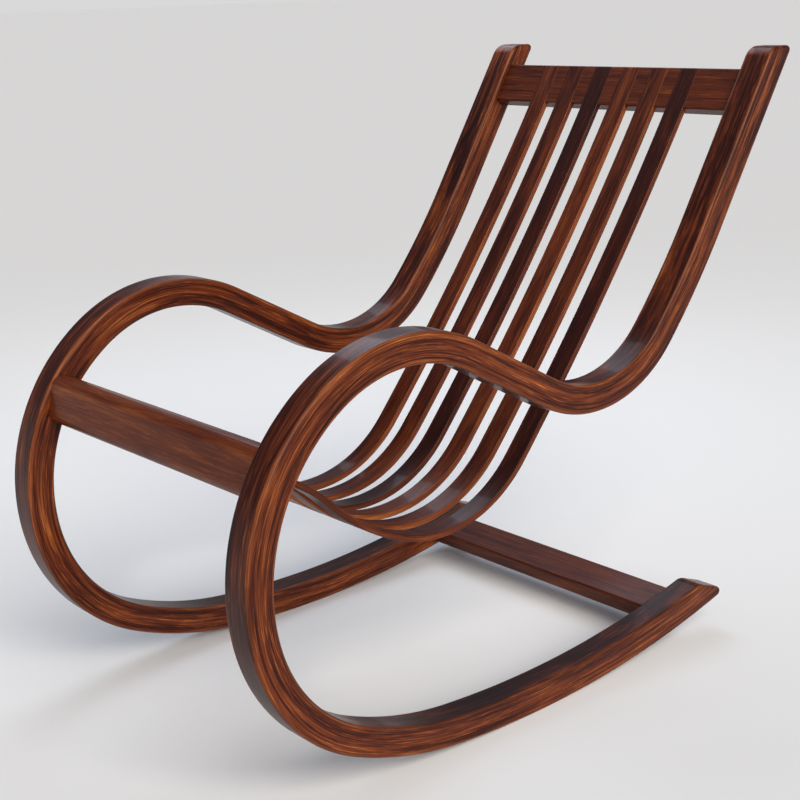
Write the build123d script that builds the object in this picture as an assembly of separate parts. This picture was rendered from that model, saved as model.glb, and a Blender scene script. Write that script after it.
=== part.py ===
from build123d import *
import math
import os

# A rocking chair of bent laminated wood. Sizes are in millimetres and degrees.
# The chair faces -Y, X runs across it and Z is up. It stands on Z = 0.

OVERALL_WIDTH = 620

# Side frame: one ribbon of glued laminations from the rocker's tail to the post's top.
FRAME_WIDTH = 49  # across the chair
FRAME_THICKNESS = 44.5  # through the laminations
FRAME_EDGE = 5

# The ribbon's centreline, as radii and the turns that follow them, from the tail forwards.
ROCKER_RADIUS = 1698
TAIL_TURN = 15.3  # behind the rocker's lowest point, to the sharp tail
ROCKER_TURN = 5.5  # in front of it
TOE_RADIUS = 572
TOE_TURN = 20.0
SHIN_RADIUS = 260.7
SHIN_TURN = 51.8
KNEE_RADIUS = 292.5
KNEE_TURN = 68.8
HAND_RADIUS = 235.6
HAND_TURN = 62.9
ARM_LENGTH = 177.3
ELBOW_RADIUS = 201.5
ELBOW_TURN = 77.7
POST_RADIUS = 1274
POST_TURN = 8.95
POST_LENGTH = 308.4  # straight top of the post, to its level end
POST_FRONT_CORNER = 32
POST_REAR_CORNER = 7
TAIL_BEVEL_TURN = 2.1  # by which the tail's upper side is shorter than its lower side
TAIL_UPPER_CORNER = 30
TAIL_TIP_CORNER = 8.5

# Crest rail, between the two posts.
RAIL_HEIGHT = 74  # along the post
RAIL_THICKNESS = 22
RAIL_EDGE = 3
RAIL_DROP = 48.5  # from the post's end down to the rail
RAIL_SETBACK = 9.25  # behind the post's front face

# Front stretcher, which carries the slats' front ends.
FRONT_STRETCHER_HEIGHT = 73
FRONT_STRETCHER_THICKNESS = 42
FRONT_STRETCHER_CORNER = 17
FRONT_STRETCHER_TURN = 45  # round the knee curve to the stretcher
FRONT_STRETCHER_INSET = 6  # inside the ribbon's centreline
FRONT_STRETCHER_LEAN = 77.4  # of its height, from level

# Rear stretcher, between the rockers' tails.
REAR_STRETCHER_WIDTH = 70
REAR_STRETCHER_THICKNESS = 28
REAR_STRETCHER_EDGE = 5
REAR_STRETCHER_TURN = 4.1  # round the rocker from its tail

# Slats: six bent strips that make the back and the seat.
SLAT_COUNT = 6
SLAT_WIDTH = 36
SLAT_THICKNESS = 10
SLAT_PITCH = 62
SLAT_EDGE = 2
SLAT_ENTRY = 18.8  # below the middle of the front stretcher's rear face
SLAT_TENON = 12
SEAT_HEIGHT = 273  # lowest point of the seat's top surface
SEAT_FORWARD = 66.3  # of that point, from the rocker's lowest point
SEAT_RADIUS = 222
THIGH_RADIUS = 369
LIP_RADIUS = 322

# Dowels, two in each end of the rail and the stretchers.
RAIL_DOWEL = (10, 50, 40)  # diameter, length, spacing
FRONT_DOWEL = (12, 60, 32)
REAR_DOWEL = (12, 60, 40)
GLUE_GAP = 1  # beyond the end of a dowel or a tenon

# Screws that hold the slats to the rail from behind, under wooden plugs.
SCREW_DIAMETER = 4
SCREW_HEAD_DIAMETER = 8
SCREW_LENGTH = 14
SCREW_POINT = 3
SCREW_SPACING = 40
PLUG_DEPTH = 5


def unit(angle):
    return Vector(1, 0).rotate(Axis.Z, angle)


def angle_of(vector):
    return math.degrees(math.atan2(vector.Y, vector.X))


def run_edges(start, heading, run, offset=0):
    """Lines and tangent arcs of a run of (size, turn) steps, drawn offset to its left."""
    edges = []
    tangent = unit(heading)
    point = start + unit(heading + 90) * offset
    for size, turn in run:
        if turn == 0:
            edge = Line(point, point + tangent * size)
        elif turn > 0:
            edge = JernArc(point, tangent, size - offset, turn)
        else:
            edge = JernArc(point, tangent, size + offset, turn)
        edges.append(edge)
        point = edge @ 1
        tangent = edge % 1
    return edges


def closed_face(left, right):
    """The face between two runs that start and end side by side."""
    foot = Line(left[0] @ 0, right[0] @ 0)
    head = Line(left[-1] @ 1, right[-1] @ 1)
    return make_face(left + right + [foot, head])


def round_corner(face, corner, radius):
    return fillet(face.vertices().sort_by_distance(corner)[0], radius)


# The side view is drawn with its origin at the rocker's lowest point.
BEFORE_KNEE = [(TOE_RADIUS, -TOE_TURN), (SHIN_RADIUS, -SHIN_TURN)]
AFTER_KNEE = [
    (HAND_RADIUS, -HAND_TURN),
    (ARM_LENGTH, 0),
    (ELBOW_RADIUS, ELBOW_TURN),
    (POST_RADIUS, POST_TURN),
]


def from_tail(run, offset=0, shorter_by=0):
    """The ribbon from its tail through a run of steps; its left side is the underside."""
    turn = TAIL_TURN - shorter_by
    rocker_centre = Vector(0, ROCKER_RADIUS + FRAME_THICKNESS / 2)
    start = rocker_centre + unit(turn - 90) * ROCKER_RADIUS
    return run_edges(start, 180 + turn, run, offset)


def frame_run(shorter_by=0, post_extra=0):
    """Steps of the whole ribbon, from the rocker's tail to the post's end."""
    rocker = (ROCKER_RADIUS, shorter_by - TAIL_TURN - ROCKER_TURN)
    knee = (KNEE_RADIUS, -KNEE_TURN)
    post = (POST_LENGTH + post_extra, 0)
    return [rocker, *BEFORE_KNEE, knee, *AFTER_KNEE, post]


def place_after(run):
    """The place where a run from the tail ends, with its local Y along the ribbon."""
    last = from_tail(run)[-1]
    return Pos(last @ 1) * Rot(0, 0, angle_of(last % 1) - 90)


POST_END = place_after(frame_run())
POST_HEADING = POST_END.orientation.Z + 90
KNEE_PLACE = place_after([frame_run()[0], *BEFORE_KNEE, (KNEE_RADIUS, -FRONT_STRETCHER_TURN)])
FRONT_STRETCHER_PLACE = (
    Pos((KNEE_PLACE * Pos(FRONT_STRETCHER_INSET, 0)).position) * Rot(0, 0, FRONT_STRETCHER_LEAN - 90)
)
REAR_STRETCHER_PLACE = place_after([(ROCKER_RADIUS, -REAR_STRETCHER_TURN)])
RAIL_FRONT = RAIL_SETBACK - FRAME_THICKNESS / 2
RAIL_PLACE = POST_END * Pos(RAIL_FRONT + RAIL_THICKNESS / 2, -RAIL_DROP - RAIL_HEIGHT / 2)


def frame_outline():
    """Side view of a frame, bevelled at the tail and cut level at the post's top."""
    half = FRAME_THICKNESS / 2
    level = half / math.tan(math.radians(POST_HEADING))
    under = from_tail(frame_run(0, -level), half)
    upper = from_tail(frame_run(TAIL_BEVEL_TURN, level), -half, TAIL_BEVEL_TURN)
    face = closed_face(under, upper)
    face = round_corner(face, under[-1] @ 1, POST_FRONT_CORNER)
    face = round_corner(face, upper[-1] @ 1, POST_REAR_CORNER)
    face = round_corner(face, upper[0] @ 0, TAIL_UPPER_CORNER)
    return round_corner(face, under[0] @ 0, TAIL_TIP_CORNER)


FRAME_OUTLINE = frame_outline()
SIDE = Plane(origin=(0, -FRAME_OUTLINE.bounding_box().center().X, 0), x_dir=(0, 1, 0), z_dir=(1, 0, 0))
INNER_FACE = OVERALL_WIDTH / 2 - FRAME_WIDTH  # distance from the middle to a frame
SPAN = 2 * INNER_FACE


def across(face, middle, width):
    """A side-view face made into a solid of a given width about X = middle."""
    return extrude(SIDE.offset(middle - width / 2) * face, width)


def long_edges(solid):
    return solid.edges().filter_by(Axis.X)


def slat_run():
    """Back, seat, thigh and lip curves, each tangent to the next, then the tenon."""
    start = (POST_END * Pos(RAIL_FRONT + SLAT_THICKNESS / 2, -RAIL_DROP)).position
    heading = POST_HEADING - 180
    seat_centre = Vector(-SEAT_FORWARD, SEAT_HEIGHT - SLAT_THICKNESS / 2 + SEAT_RADIUS)

    # The back curve starts in line with the post and runs into the seat curve.
    inwards = unit(heading - 90)
    rise = start - seat_centre
    back_radius = (SEAT_RADIUS**2 - rise.length**2) / (2 * (inwards.dot(rise) + SEAT_RADIUS))
    back_centre = start + inwards * back_radius

    # The lip curve runs square into the stretcher's rear face.
    entry = (FRONT_STRETCHER_PLACE * Pos(FRONT_STRETCHER_THICKNESS / 2, -SLAT_ENTRY)).position
    entry_heading = FRONT_STRETCHER_LEAN + 90
    lip_centre = entry + unit(entry_heading + 90) * LIP_RADIUS

    # The thigh curve touches the seat curve and the lip curve.
    gap = lip_centre - seat_centre
    seat_side = THIGH_RADIUS - SEAT_RADIUS
    lip_side = THIGH_RADIUS + LIP_RADIUS
    cosine = (seat_side**2 + gap.length**2 - lip_side**2) / (2 * seat_side * gap.length)
    thigh_centre = seat_centre + unit(angle_of(gap) - math.degrees(math.acos(cosine))) * seat_side

    back_end = angle_of(seat_centre - back_centre) - 90
    seat_end = angle_of(seat_centre - thigh_centre) - 90
    thigh_end = angle_of(lip_centre - thigh_centre) - 90
    return start, heading, [
        (back_radius, -((heading - back_end) % 360)),
        (SEAT_RADIUS, -((back_end - seat_end) % 360)),
        (THIGH_RADIUS, -((seat_end - thigh_end) % 360)),
        (LIP_RADIUS, (entry_heading - thigh_end) % 360),
        (SLAT_TENON, 0),
    ]


def slat_outline(beyond=0):
    """Side view of a slat, with its tenon longer by a given amount."""
    start, heading, run = slat_run()
    run[-1] = (SLAT_TENON + beyond, 0)
    upper = run_edges(start, heading, run, -SLAT_THICKNESS / 2)
    lower = run_edges(start, heading, run, SLAT_THICKNESS / 2)
    return closed_face(upper, lower)


def slat_places():
    first = -(SLAT_COUNT - 1) / 2 * SLAT_PITCH
    return [first + index * SLAT_PITCH for index in range(SLAT_COUNT)]


def dowels(place, size, side):
    """Two dowels across the joint between a frame and the end of a rail or a stretcher."""
    diameter, length, spacing = size
    pair = [place * Pos(0, step * spacing / 2) * Circle(diameter / 2) for step in (-1, 1)]
    return [across(circle, side * INNER_FACE, length) for circle in pair]


def dowel_holes(place, size):
    diameter, length, spacing = size
    longer = (diameter, length + 2 * GLUE_GAP, spacing)
    return dowels(place, longer, -1) + dowels(place, longer, 1)


def screw_places():
    """The places of one slat's screws: on the rail's rear face, pointing into it."""
    rear = SIDE.location * RAIL_PLACE * Pos(RAIL_THICKNESS / 2, 0)
    return [rear * Pos(0, step * SCREW_SPACING / 2) * Rot(0, -90, 0) for step in (-1, 1)]


def screw():
    """A countersunk wood screw without its thread, head up, with the plug's depth above it."""
    head_depth = (SCREW_HEAD_DIAMETER - SCREW_DIAMETER) / 2
    profile = Polyline(
        (0, PLUG_DEPTH),
        (SCREW_HEAD_DIAMETER / 2, PLUG_DEPTH),
        (SCREW_DIAMETER / 2, PLUG_DEPTH + head_depth),
        (SCREW_DIAMETER / 2, PLUG_DEPTH + SCREW_LENGTH - SCREW_POINT),
        (0, PLUG_DEPTH + SCREW_LENGTH),
        close=True,
    )
    return revolve(Plane.XZ * make_face(profile), Axis.Z)


def plug():
    return extrude(Circle(SCREW_HEAD_DIAMETER / 2), PLUG_DEPTH)


def side_frame(side):
    """One frame, with its side faces' edges rounded and its dowel holes bored."""
    body = across(FRAME_OUTLINE, side * (OVERALL_WIDTH - FRAME_WIDTH) / 2, FRAME_WIDTH)
    flats = body.faces().filter_by(Axis.X)
    return fillet(flats.edges(), FRAME_EDGE) - ALL_DOWEL_HOLES


def slat():
    """One slat in the middle of the chair, with its long edges rounded and its top flush with the rail."""
    rail_corner = (POST_END * Pos(RAIL_FRONT, -RAIL_DROP)).position
    outline = round_corner(slat_outline(), rail_corner, RAIL_EDGE)
    body = across(outline, 0, SLAT_WIDTH)
    sides = body.faces().filter_by(Axis.X)
    return fillet(sides.edges(), SLAT_EDGE) - [place * screw() for place in screw_places()]


def at_each_slat(pieces):
    """Copies of some pieces in the middle of the chair, at every slat."""
    return [Pos(middle, 0, 0) * piece for middle in slat_places() for piece in pieces]


def crest_rail():
    body = across(RAIL_PLACE * Rectangle(RAIL_THICKNESS, RAIL_HEIGHT), 0, SPAN)
    return fillet(long_edges(body), RAIL_EDGE) - SLAT_ROOM - SCREWS - PLUGS - ALL_DOWEL_HOLES


def front_stretcher():
    section = RectangleRounded(FRONT_STRETCHER_THICKNESS, FRONT_STRETCHER_HEIGHT, FRONT_STRETCHER_CORNER)
    body = across(FRONT_STRETCHER_PLACE * section, 0, SPAN)
    return body - SLAT_ROOM - ALL_DOWEL_HOLES


def rear_stretcher():
    body = across(REAR_STRETCHER_PLACE * Rectangle(REAR_STRETCHER_THICKNESS, REAR_STRETCHER_WIDTH), 0, SPAN)
    return fillet(long_edges(body), REAR_STRETCHER_EDGE) - ALL_DOWEL_HOLES


JOINTS = {
    "crest_rail": (RAIL_PLACE, RAIL_DOWEL),
    "front_stretcher": (FRONT_STRETCHER_PLACE, FRONT_DOWEL),
    "rear_stretcher": (REAR_STRETCHER_PLACE, REAR_DOWEL),
}
ALL_DOWEL_HOLES = [hole for place, size in JOINTS.values() for hole in dowel_holes(place, size)]
SLAT_ROOM = at_each_slat([across(slat_outline(GLUE_GAP), 0, SLAT_WIDTH)])
SCREWS = at_each_slat([place * screw() for place in screw_places()])
PLUGS = at_each_slat([place * plug() for place in screw_places()])

parts = {
    "side_frame_left": side_frame(1),
    "side_frame_right": side_frame(-1),
    "crest_rail": crest_rail(),
    "front_stretcher": front_stretcher(),
    "rear_stretcher": rear_stretcher(),
    "slat_screws": Compound(SCREWS),
    "slat_screw_plugs": Compound(PLUGS),
}
for number, shape in enumerate(at_each_slat([slat()]), start=1):
    parts[f"slat_{number}"] = shape
for name, (place, size) in JOINTS.items():
    parts[f"{name}_dowels_left"] = Compound(dowels(place, size, 1))
    parts[f"{name}_dowels_right"] = Compound(dowels(place, size, -1))

os.makedirs("parts", exist_ok=True)
for name, shape in parts.items():
    export_step(shape, f"parts/{name}.step")
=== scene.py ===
import math

import bmesh
import bpy
from mathutils import Matrix, Vector


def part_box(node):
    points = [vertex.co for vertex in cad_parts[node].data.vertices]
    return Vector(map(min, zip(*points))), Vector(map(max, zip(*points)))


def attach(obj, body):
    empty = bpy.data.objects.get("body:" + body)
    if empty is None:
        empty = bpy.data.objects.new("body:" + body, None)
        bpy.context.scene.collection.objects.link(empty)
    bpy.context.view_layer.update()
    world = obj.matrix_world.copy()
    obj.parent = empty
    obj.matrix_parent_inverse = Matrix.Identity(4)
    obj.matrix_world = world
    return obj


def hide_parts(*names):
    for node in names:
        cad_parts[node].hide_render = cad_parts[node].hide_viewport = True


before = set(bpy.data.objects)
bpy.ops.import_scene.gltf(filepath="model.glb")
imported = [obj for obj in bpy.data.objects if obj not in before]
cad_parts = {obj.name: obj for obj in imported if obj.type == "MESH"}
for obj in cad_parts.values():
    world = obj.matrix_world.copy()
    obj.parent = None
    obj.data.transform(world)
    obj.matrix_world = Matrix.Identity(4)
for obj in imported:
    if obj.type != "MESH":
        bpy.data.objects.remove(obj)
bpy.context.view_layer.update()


# Side frames. Each is one ribbon of thin rosewood laminations, bent and glued round a former:
# rocker, arm and back post in one piece. It is planed square, rounded along its edges and
# lacquered. The tail is bevelled on top, and the post is cut level, with a broad front corner.

FRAME_WIDTH = 0.049
FRAME_THICKNESS = 0.0445
FRAME_LAMINATIONS = 15
FRAME_EDGE = 0.005
FRAME_EDGE_SEGMENTS = 5
FRAME_WARMTH = 0.155
FRAME_CONTRAST = 1.1
FRAME_PLANK = 3.7  # from one frame's grain to the other's
ROCKER_RADIUS = 1.698
ROCKER_TURN = 5.5  # in front of the lowest point
TAIL_TURN = 15.3
TAIL_BEVEL_TURN = 2.1
TAIL_UPPER_CORNER = 0.030
TAIL_TIP_CORNER = 0.0085
POST_FRONT_CORNER = 0.032
POST_REAR_CORNER = 0.007
SPARE_TURN = 0.6  # left on the tail until it is cut
SPARE_LENGTH = 0.03  # left on the post until it is cut
CURVE_STEP = 0.009  # length of a face along a curve
STRAIGHT_STEP = 0.03
CORNER_SEGMENTS = 8
CORNER_MARGIN = 0.002  # kept clear of other edges beside a rounded corner
CUT_REACH = 0.2  # how far from a cut the wood is sawn
SIDEWAYS = 0.99  # least part along X of what counts as pointing sideways
SHARP_ANGLE = 35

# Straight runs are (length, 0) and curves are (radius, turn), forwards from the tail.
FRAME_RUN = [
    (ROCKER_RADIUS, -TAIL_TURN - SPARE_TURN - ROCKER_TURN),
    (0.572, -20.0),
    (0.2607, -51.8),
    (0.2925, -68.8),
    (0.2356, -62.9),
    (0.1773, 0),
    (0.2015, 77.7),
    (1.274, 8.95),
    (0.3084 + SPARE_LENGTH, 0),
]


def direction(angle):
    """A unit vector in the side view: 0 points to the chair's rear and 90 points up."""
    return Vector((0, math.cos(math.radians(angle)), math.sin(math.radians(angle))))


def angle_of(vector):
    return math.degrees(math.atan2(vector.z, vector.y))


def course_of(start, heading, run):
    """Each step of a run with its start, heading, curve's centre and the distance gone."""
    course = []
    gone = 0
    for size, turn in run:
        centre = start + direction(heading + math.copysign(90, turn)) * size
        course.append((start, heading, centre, size, turn, gone))
        if turn:
            start = centre + Matrix.Rotation(math.radians(turn), 3, "X") @ (start - centre)
            heading += turn
            gone += size * math.radians(abs(turn))
        else:
            start = start + direction(heading) * size
            gone += size
    return course


def bent_strip(width, thickness, course):
    """A square-edged strip carried along a course: extruded where straight and spun round curves."""
    strip = bmesh.new()
    bmesh.ops.create_grid(strip, x_segments=1, y_segments=1, size=0.5)
    start, heading = course[0][:2]
    upright = Matrix.Rotation(math.radians(heading - 90), 4, "X")
    size = Matrix.Diagonal((width, thickness, 1, 1))
    bmesh.ops.transform(strip, matrix=Matrix.Translation(start) @ upright @ size, verts=strip.verts)
    end = list(strip.edges)
    for start, heading, centre, size, turn, gone in course:
        if turn:
            angle = math.radians(turn)
            steps = math.ceil(size * abs(angle) / CURVE_STEP)
            made = bmesh.ops.spin(
                strip, geom=end, cent=centre, axis=(1, 0, 0), angle=angle, steps=steps
            )["geom_last"]
            end = [item for item in made if isinstance(item, bmesh.types.BMEdge)]
        else:
            steps = math.ceil(size / STRAIGHT_STEP)
            for step in range(steps):
                made = bmesh.ops.extrude_edge_only(strip, edges=end)["geom"]
                moved = [item for item in made if isinstance(item, bmesh.types.BMVert)]
                bmesh.ops.translate(strip, verts=moved, vec=direction(heading) * size / steps)
                end = [edge for edge in strip.edges if edge.is_boundary]
    bmesh.ops.holes_fill(strip, edges=end, sides=4)
    bmesh.ops.recalc_face_normals(strip, faces=strip.faces)
    strip.normal_update()
    return strip


def straightened(point, course):
    """Where a point of a bent strip lay in the straight wood: across, through and along it."""
    best = (math.inf, None)
    for start, heading, centre, size, turn, gone in course:
        if turn:
            side = math.copysign(1, turn)
            arm = Vector((0, point.y - centre.y, point.z - centre.z))
            turned = (angle_of(arm) - angle_of(start - centre)) * side
            along = size * math.radians((turned + 180) % 360 - 180)
            depth = (size - arm.length) * side
            length = size * math.radians(abs(turn))
        else:
            along = (point - start).dot(direction(heading))
            depth = (point - start).dot(direction(heading + 90))
            length = size
        miss = abs(depth) + 10 * max(0, -along, along - length)
        if miss < best[0]:
            best = (miss, (point.x, depth, gone + along))
    return best[1]


def cut(strip, point, outwards):
    """Saws an end off along a plane through a point near it and closes the end."""
    verts = [vertex for vertex in strip.verts if (vertex.co - point).length < CUT_REACH]
    near = set(verts)
    edges = [edge for edge in strip.edges if near.issuperset(edge.verts)]
    faces = [face for face in strip.faces if near.issuperset(face.verts)]
    sawn = bmesh.ops.bisect_plane(
        strip,
        geom=verts + edges + faces,
        dist=1e-5,
        plane_co=point,
        plane_no=outwards,
        clear_outer=True,
    )["geom_cut"]
    rim = [item for item in sawn if isinstance(item, bmesh.types.BMEdge)]
    bmesh.ops.holes_fill(strip, edges=rim, sides=0)
    strip.normal_update()


def side_faces(edge):
    """How many of the faces at an edge are on a side of the strip."""
    return sum(abs(face.normal.x) > SIDEWAYS for face in edge.link_faces)


def runs_across(edge):
    return abs((edge.verts[0].co - edge.verts[1].co).normalized().x) > SIDEWAYS


def round_corner(strip, near, radius, turn):
    """Rounds the edge across the strip nearest a point to a true arc, for a corner of that turn."""
    half_turn = math.radians(turn / 2)
    reach = radius * math.tan(half_turn)

    def gap(edge):
        return (edge.verts[0].co - near).yz.length

    # The bevel needs whole faces beside it, so the steps within its reach are merged.
    across = sorted(filter(runs_across, strip.edges), key=gap)
    beside = [edge for edge in across[1:] if gap(edge) < reach + CORNER_MARGIN]
    loose = {vertex for edge in beside for vertex in edge.verts}
    rings = [edge for edge in strip.edges if side_faces(edge) == 2 and not loose.isdisjoint(edge.verts)]
    bmesh.ops.dissolve_edges(strip, edges=beside + rings, use_verts=True)
    shoulder = 1 - 0.5 / (1 + math.cos(half_turn))
    bmesh.ops.bevel(
        strip,
        geom=[across[0]],
        offset=reach,
        offset_type="OFFSET",
        segments=CORNER_SEGMENTS,
        profile=shoulder**2,
        affect="EDGES",
        material=-1,
    )


def round_long_edges(strip, radius, segments):
    """Rounds the edges all round both side faces."""
    strip.normal_update()
    rims = [edge for edge in strip.edges if side_faces(edge) == 1]
    bmesh.ops.bevel(
        strip,
        geom=rims,
        offset=radius,
        offset_type="OFFSET",
        segments=segments,
        profile=0.5,
        affect="EDGES",
        material=-1,
    )


class Socket:
    """A node's output. Operators on it add Math nodes, and node() adds any other node."""

    def __init__(self, tree, output=None):
        self.tree = tree
        self.output = output

    def node(self, kind, settings, inputs, output=0):
        made = self.tree.nodes.new(kind)
        for name, value in settings.items():
            if name == "stops":
                ramp = made.color_ramp.elements
                while len(ramp) < len(value):
                    ramp.new(0.5)
                for stop, (position, colour) in zip(ramp, value):
                    stop.position = position
                    stop.color = (*colour, 1)
            else:
                setattr(made, name, value)
        for name, value in inputs.items():
            if isinstance(value, Socket):
                self.tree.links.new(value.output, made.inputs[name])
            else:
                made.inputs[name].default_value = value
        return Socket(self.tree, made.outputs[output])

    def math(self, operation, *values):
        return self.node("ShaderNodeMath", {"operation": operation}, dict(enumerate(values)))

    def __add__(self, other):
        return self.math("ADD", self, other)

    def __radd__(self, other):
        return self.math("ADD", other, self)

    def __sub__(self, other):
        return self.math("SUBTRACT", self, other)

    def __rsub__(self, other):
        return self.math("SUBTRACT", other, self)

    def __mul__(self, other):
        return self.math("MULTIPLY", self, other)

    def __rmul__(self, other):
        return self.math("MULTIPLY", other, self)

    def __truediv__(self, other):
        return self.math("DIVIDE", self, other)


def new_material(name):
    """A material and the starting socket of its node tree, with its shader left in place."""
    material = bpy.data.materials.new(name)
    material.use_nodes = True
    return material, Socket(material.node_tree)


def wood_noise(wood, straight, scale, detail=3.0, distortion=0.0):
    """Noise drawn out along the grain. The scale is given across, through and along the wood."""
    stretched = wood.node("ShaderNodeMapping", {}, {"Vector": straight, "Scale": scale})
    settings = {"noise_dimensions": "3D", "normalize": True}
    inputs = {"Vector": stretched, "Scale": 1.0, "Detail": detail, "Roughness": 0.6, "Distortion": distortion}
    return wood.node("ShaderNodeTexNoise", settings, inputs)


def smooth_step(value, low, high):
    """0 below low, 1 above high and smooth between them."""
    settings = {"interpolation_type": "SMOOTHSTEP"}
    return value.node("ShaderNodeMapRange", settings, {"Value": value, "From Min": low, "From Max": high})


def bent_grain(wood):
    """Grain that follows a bent piece."""
    return wood.node("ShaderNodeAttribute", {"attribute_name": "straight"}, {}, 1)


def rosewood(name, grain, warmth, contrast, lamination=0, half_section=(1, 1)):
    """Rosewood under satin lacquer. Warmth lightens it, and half_section places its pale edges: a painted
    highlight along the rounded edges, mixed with lacquer rubbed thin there.

    Contrast spreads its tones about their average. Lamination is the thickness of its layers.
    """
    material, wood = new_material(name)
    straight = grain(wood)
    across = wood.node("ShaderNodeSeparateXYZ", {}, {0: straight}, 0)
    through = wood.node("ShaderNodeSeparateXYZ", {}, {0: straight}, 1)

    streaks = wood_noise(wood, straight, (260, 600, 9), 4.0)
    figure = wood_noise(wood, straight, (40, 95, 5), 3.0, 1.0)
    clouds = wood_noise(wood, straight, (9, 9, 2.6), 2.0)
    flecks = smooth_step(wood_noise(wood, straight, (420, 700, 26), 2.0), 0.54, 0.70)
    average = 0.91
    base_tone = 0.38
    spread = figure * 0.80 + streaks * 0.62 + clouds * 0.30 + flecks * 0.16 - average
    tone = spread * contrast + (warmth + base_tone)
    if lamination:
        layer = wood.math("FLOOR", through / lamination)
        settings = {"noise_dimensions": "1D"}
        tone = tone + wood.node("ShaderNodeTexWhiteNoise", settings, {"W": layer + 0.5}) * 0.12 - 0.06
        seam = wood.math("ABSOLUTE", wood.math("WRAP", through, lamination / 2, -lamination / 2))
        glue_line = 0.0004
        seam = smooth_step(seam, lamination / 2 - glue_line, lamination / 2)
        tone = tone - seam * 0.10

    stops = [
        (0.15, (0.0070, 0.0016, 0.0010)),
        (0.38, (0.036, 0.0058, 0.0022)),
        (0.56, (0.120, 0.0240, 0.0062)),
        (0.74, (0.260, 0.0700, 0.0150)),
        (0.92, (0.480, 0.1700, 0.0400)),
    ]
    colour = wood.node("ShaderNodeValToRGB", {"stops": stops}, {0: tone})

    pores = smooth_step(wood_noise(wood, straight, (1500, 1500, 38), 2.0), 0.60, 0.72)
    dark_pores = {"Factor": pores * 0.55, 6: colour, 7: (0.010, 0.004, 0.003, 1)}
    colour = wood.node("ShaderNodeMix", {"data_type": "RGBA"}, dark_pores, 2)

    def near_face(place, half_size):
        band_start, band_end = 0.006, 0.001
        return smooth_step(wood.math("ABSOLUTE", place), half_size - band_start, half_size - band_end)

    # Pale band along the rounded edges: partly a painted edge highlight and partly lacquer rubbed thin there.
    # The same band also roughens the edges.
    edge_highlight_and_rub = near_face(across, half_section[0]) * near_face(through, half_section[1])
    painted_edge_highlight_and_rub = {"Factor": edge_highlight_and_rub * streaks * 0.25, 6: colour, 7: (0.36, 0.14, 0.06, 1)}
    colour = wood.node("ShaderNodeMix", {"data_type": "RGBA"}, painted_edge_highlight_and_rub, 2)

    hollows = {"Strength": 0.12, "Distance": 0.0004, "Height": streaks - pores}
    relief = wood.node("ShaderNodeBump", {}, hollows)
    shader = material.node_tree.nodes["Principled BSDF"]
    links = material.node_tree.links
    links.new(colour.output, shader.inputs["Base Color"])
    links.new((0.30 + streaks * 0.16 + edge_highlight_and_rub * 0.08).output, shader.inputs["Roughness"])
    links.new(relief.output, shader.inputs["Normal"])
    shader.inputs["Specular IOR Level"].default_value = 0.10
    shader.inputs["Coat Weight"].default_value = 0.24
    shader.inputs["Coat Roughness"].default_value = 0.09
    shader.inputs["Coat IOR"].default_value = 1.3
    return material


def shift_to(strip, node):
    """The move that brings a strip's box over its CAD node's box."""
    low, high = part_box(node)
    middle = (low + high) / 2
    ys = [vertex.co.y for vertex in strip.verts]
    zs = [vertex.co.z for vertex in strip.verts]
    return Vector((middle.x, middle.y - (min(ys) + max(ys)) / 2, middle.z - (min(zs) + max(zs)) / 2))


def finish_piece(node, strip, course, plank, material):
    """Makes a strip into the piece that replaces a CAD node. Plank sets where its grain starts."""
    name = "bent_" + node
    grain = [straightened(vertex.co, course) for vertex in strip.verts]
    bmesh.ops.translate(strip, verts=strip.verts, vec=shift_to(strip, node))
    mesh = bpy.data.meshes.new(name)
    strip.to_mesh(mesh)
    strip.free()
    straight = mesh.attributes.new("straight", "FLOAT_VECTOR", "POINT")
    straight.data.foreach_set("vector", [value for x, y, z in grain for value in (x, y, z + plank)])
    mesh.shade_smooth()
    mesh.set_sharp_from_angle(angle=math.radians(SHARP_ANGLE))
    mesh.materials.append(material)
    piece = bpy.data.objects.new(name, mesh)
    bpy.context.scene.collection.objects.link(piece)
    even = piece.modifiers.new("even_shading", "WEIGHTED_NORMAL")
    even.weight = 90
    even.keep_sharp = True
    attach(piece, "root")
    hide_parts(node)


half = FRAME_THICKNESS / 2
rocker_centre = Vector((0, 0, ROCKER_RADIUS + half))
tail = rocker_centre + direction(TAIL_TURN + SPARE_TURN - 90) * ROCKER_RADIUS
frame_course = course_of(tail, 180 + TAIL_TURN + SPARE_TURN, FRAME_RUN)
post_heading = frame_course[-1][1]
post_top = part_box("side_frame_left")[1].z
post_middle = frame_course[-1][0]
post_end = post_middle + direction(post_heading) * ((post_top - post_middle.z) / direction(post_heading).z)
bevel_foot = rocker_centre + direction(TAIL_TURN - 90) * (ROCKER_RADIUS + half)
bevel_head = rocker_centre + direction(TAIL_TURN - TAIL_BEVEL_TURN - 90) * (ROCKER_RADIUS - half)
bevel_angle = angle_of(bevel_head - bevel_foot)
level = half / math.sin(math.radians(post_heading))
frame_section = (FRAME_WIDTH / 2, half)
frame_layer = FRAME_THICKNESS / FRAME_LAMINATIONS
frame_wood = rosewood(
    "lacquered_frame", bent_grain, FRAME_WARMTH, FRAME_CONTRAST, frame_layer, frame_section
)

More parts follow.
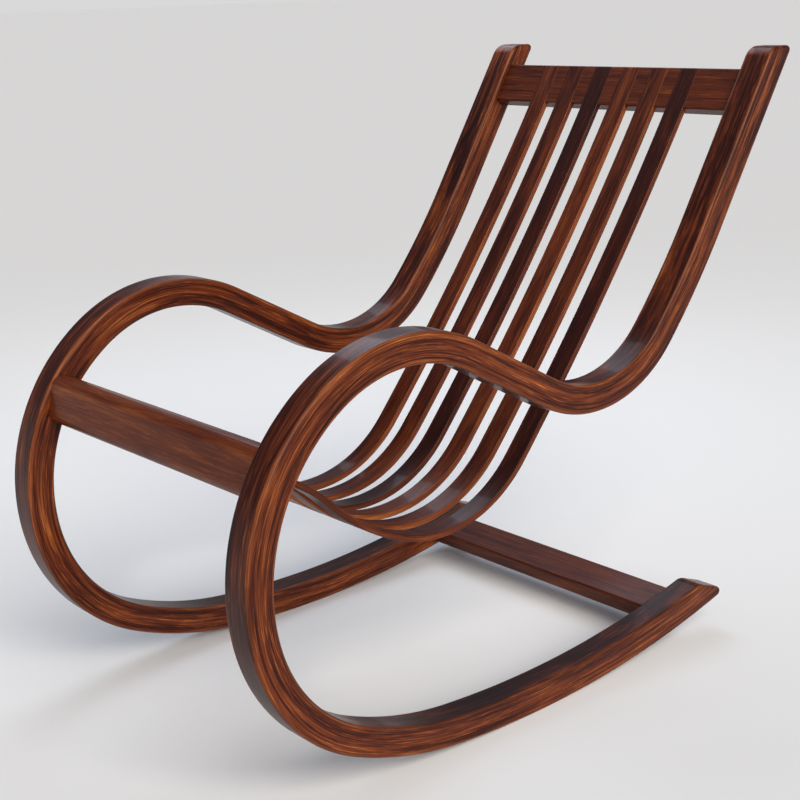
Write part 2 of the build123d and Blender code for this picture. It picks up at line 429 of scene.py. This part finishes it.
for number, node in enumerate(("side_frame_left", "side_frame_right")):
    strip = bent_strip(FRAME_WIDTH, FRAME_THICKNESS, frame_course)
    cut(strip, post_end, (0, 0, 1))
    cut(strip, bevel_foot, direction(bevel_angle - 90))
    round_corner(strip, post_end - Vector((0, level, 0)), POST_FRONT_CORNER, post_heading)
    round_corner(strip, post_end + Vector((0, level, 0)), POST_REAR_CORNER, 180 - post_heading)
    round_corner(strip, bevel_head, TAIL_UPPER_CORNER, 180 + TAIL_TURN - TAIL_BEVEL_TURN - bevel_angle)
    round_corner(strip, bevel_foot, TAIL_TIP_CORNER, bevel_angle - TAIL_TURN)
    round_long_edges(strip, FRAME_EDGE, FRAME_EDGE_SEGMENTS)
    finish_piece(node, strip, frame_course, number * FRAME_PLANK, frame_wood)


# Slats. Six strips of thin rosewood veneers, bent together into back and seat, let into the
# crest rail's face at the top and tenoned into the front stretcher. Each has its own colour.

SLAT_WIDTH = 0.036
SLAT_THICKNESS = 0.010
SLAT_LAMINATIONS = 5
SLAT_EDGE = 0.002
SLAT_EDGE_SEGMENTS = 3
SLAT_CONTRAST = 0.65
SLAT_PLANK = 5.3  # from one slat's grain to the next one's
RAIL_EDGE = 0.003
EDGE_BAND_SHIFT = 0.003  # how much nearer to its edges a slat's pale band lies; the band is a painted edge highlight mixed with rubbed lacquer
SLAT_RUN = [(4.8885, -8.38), (0.222, -68.97), (0.369, -25.48), (0.322, 32.59), (0.012, 0)]
SLAT_WARMTH = [0.23, 0.19, 0.10, 0.29, 0.23, 0.14]  # from the sitter's right to the left

slat_top = Vector((0, 0, 1))
slat_course = course_of(slat_top, post_heading - 180, SLAT_RUN)
slat_corner = slat_top + direction(post_heading + 90) * SLAT_THICKNESS / 2
slat_section = (SLAT_WIDTH / 2 + EDGE_BAND_SHIFT, SLAT_THICKNESS / 2 + EDGE_BAND_SHIFT)
slat_layer = SLAT_THICKNESS / SLAT_LAMINATIONS
for number, warmth in enumerate(SLAT_WARMTH, start=1):
    node = f"slat_{number}"
    strip = bent_strip(SLAT_WIDTH, SLAT_THICKNESS, slat_course)
    round_corner(strip, slat_corner, RAIL_EDGE, 90)
    round_long_edges(strip, SLAT_EDGE, SLAT_EDGE_SEGMENTS)
    slat_wood = rosewood(
        f"lacquered_{node}", bent_grain, warmth, SLAT_CONTRAST, slat_layer, slat_section
    )
    finish_piece(node, strip, slat_course, number * SLAT_PLANK, slat_wood)


# Crest rail and stretchers. Straight solid rosewood, dowelled between the side frames.
# The grain runs from side to side, and the rail's rear face shows the screws' plugs.

RAIL_WARMTH = {"crest_rail": 0.11, "front_stretcher": 0.18, "rear_stretcher": 0.11}
RAIL_CONTRAST = 0.55
RAIL_PLANK = 2.3  # where the first of them starts in the plank; the next is a metre on
PLUG_WARMTH = 0.08
PLUG_PLANK = 6


def straight_grain(start):
    """Grain along X for a piece that isn't bent, from a place of its own in the plank."""

    def coordinates(wood):
        place = wood.node("ShaderNodeTexCoord", {}, {}, 3)
        turned = {"Vector": place, "Location": start, "Rotation": (0, math.radians(90), 0)}
        return wood.node("ShaderNodeMapping", {"vector_type": "POINT"}, turned)

    return coordinates


def dress(node, material):
    """Gives a CAD node its material."""
    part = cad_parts[node]
    part.data.materials.clear()
    part.data.materials.append(material)


for number, (node, warmth) in enumerate(RAIL_WARMTH.items()):
    low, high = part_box(node)
    middle = (low + high) / 2
    start = (middle.z, -middle.y, RAIL_PLANK + number)
    dress(node, rosewood(f"lacquered_{node}", straight_grain(start), warmth, RAIL_CONTRAST))

plug_wood = rosewood("lacquered_plugs", straight_grain((0, 0, PLUG_PLANK)), PLUG_WARMTH, RAIL_CONTRAST)
dress("slat_screw_plugs", plug_wood)


# Dowels and screws. Plain beech dowels and countersunk steel screws, all hidden in the joints
# until the chair is taken apart.


def beech(name):
    """Bare beech, pale with short brown flecks along the dowel."""
    material, wood = new_material(name)
    place = straight_grain((0, 0, 0))(wood)
    fleck = smooth_step(wood_noise(wood, place, (900, 900, 90), 2.0), 0.55, 0.70)
    tone = wood_noise(wood, place, (160, 160, 9)) + fleck * 0.4
    stops = [(0.35, (0.56, 0.36, 0.20)), (0.85, (0.36, 0.20, 0.10))]
    colour = wood.node("ShaderNodeValToRGB", {"stops": stops}, {0: tone})
    shader = material.node_tree.nodes["Principled BSDF"]
    material.node_tree.links.new(colour.output, shader.inputs["Base Color"])
    material.node_tree.links.new((0.55 + fleck * 0.2).output, shader.inputs["Roughness"])
    return material


def turned_steel(name):
    """Bright steel with fine turning marks."""
    material, metal = new_material(name)
    place = metal.node("ShaderNodeTexCoord", {}, {}, 3)
    marks = wood_noise(metal, place, (3000, 3000, 3000), 2.0)
    shader = material.node_tree.nodes["Principled BSDF"]
    material.node_tree.links.new((0.22 + marks * 0.2).output, shader.inputs["Roughness"])
    shader.inputs["Base Color"].default_value = (0.60, 0.60, 0.58, 1)
    shader.inputs["Metallic"].default_value = 1.0
    return material


dowel_wood = beech("bare_dowel")
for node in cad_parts:
    if "dowels" in node:
        dress(node, dowel_wood)
dress("slat_screws", turned_steel("bright_screw"))


# Studio. A pale floor that runs out of sight under air that darkens overhead, a wide warm
# window on the chair's left that lights the frames' sides, and a cool lamp above its right rear.

bpy.ops.mesh.primitive_plane_add(size=400)
floor = bpy.context.object
floor.name = "studio_floor"
floor_paint, paper = new_material("studio_paper")
speckle = wood_noise(paper, paper.node("ShaderNodeTexCoord", {}, {}, 3), (3, 3, 3))
paint = floor_paint.node_tree.nodes["Principled BSDF"]
floor_paint.node_tree.links.new((0.85 + speckle * 0.1).output, paint.inputs["Roughness"])
paint.inputs["Base Color"].default_value = (0.86, 0.86, 0.86, 1)
paint.inputs["Specular IOR Level"].default_value = 0.1
floor.data.materials.append(floor_paint)

world = bpy.data.worlds.new("studio_air")
bpy.context.scene.world = world
world.use_nodes = True
air = Socket(world.node_tree)
height = air.node("ShaderNodeSeparateXYZ", {}, {0: air.node("ShaderNodeTexCoord", {}, {}, 0)}, 2)
tones = {"Factor": smooth_step(height, 0.0, 0.26), 6: (0.69, 0.69, 0.69, 1), 7: (0.18, 0.20, 0.24, 1)}
tone = air.node("ShaderNodeMix", {"data_type": "RGBA"}, tones, 2)
world.node_tree.links.new(tone.output, world.node_tree.nodes["Background"].inputs["Color"])

sun_data = bpy.data.lights.new("window", "SUN")
sun_data.energy = 3.6
sun_data.angle = math.radians(50)
sun_data.color = (1.0, 0.95, 0.88)
sun = bpy.data.objects.new("window", sun_data)
sun.rotation_euler = Vector((1.0, -0.28, 0.66)).to_track_quat("Z", "Y").to_euler()
bpy.context.scene.collection.objects.link(sun)

lamp_data = bpy.data.lights.new("overhead_lamp", "AREA")
lamp_data.size = 1.4
lamp_data.energy = 18
lamp_data.color = (0.78, 0.86, 1.0)
lamp = bpy.data.objects.new("overhead_lamp", lamp_data)
lamp.location = (-1.3, 0.9, 2.2)
lamp.rotation_euler = (lamp.location - Vector((0, 0, 0.5))).to_track_quat("Z", "Y").to_euler()
bpy.context.scene.collection.objects.link(lamp)

bpy.context.scene.view_settings.view_transform = "Standard"


# Camera. A little above the chair, ahead of it and to its left, looking slightly down. It is
# turned about X by the angle that the chair leans back at rest.

CHAIR_LEAN = 2.6

camera_data = bpy.data.cameras.new("view")
camera_data.sensor_width = 36
camera_data.lens = 65.15
camera = bpy.data.objects.new("view", camera_data)
camera.location = (1.6935, -1.4722, 1.0583)
turn_down = Matrix.Rotation(math.radians(-CHAIR_LEAN), 3, "X")
turn_round = Matrix.Rotation(math.radians(49.01), 3, "Z")
tip_up = Matrix.Rotation(math.radians(75.96), 3, "X")
camera.rotation_euler = (turn_down @ turn_round @ tip_up).to_euler()
bpy.context.scene.collection.objects.link(camera)
bpy.context.scene.camera = camera
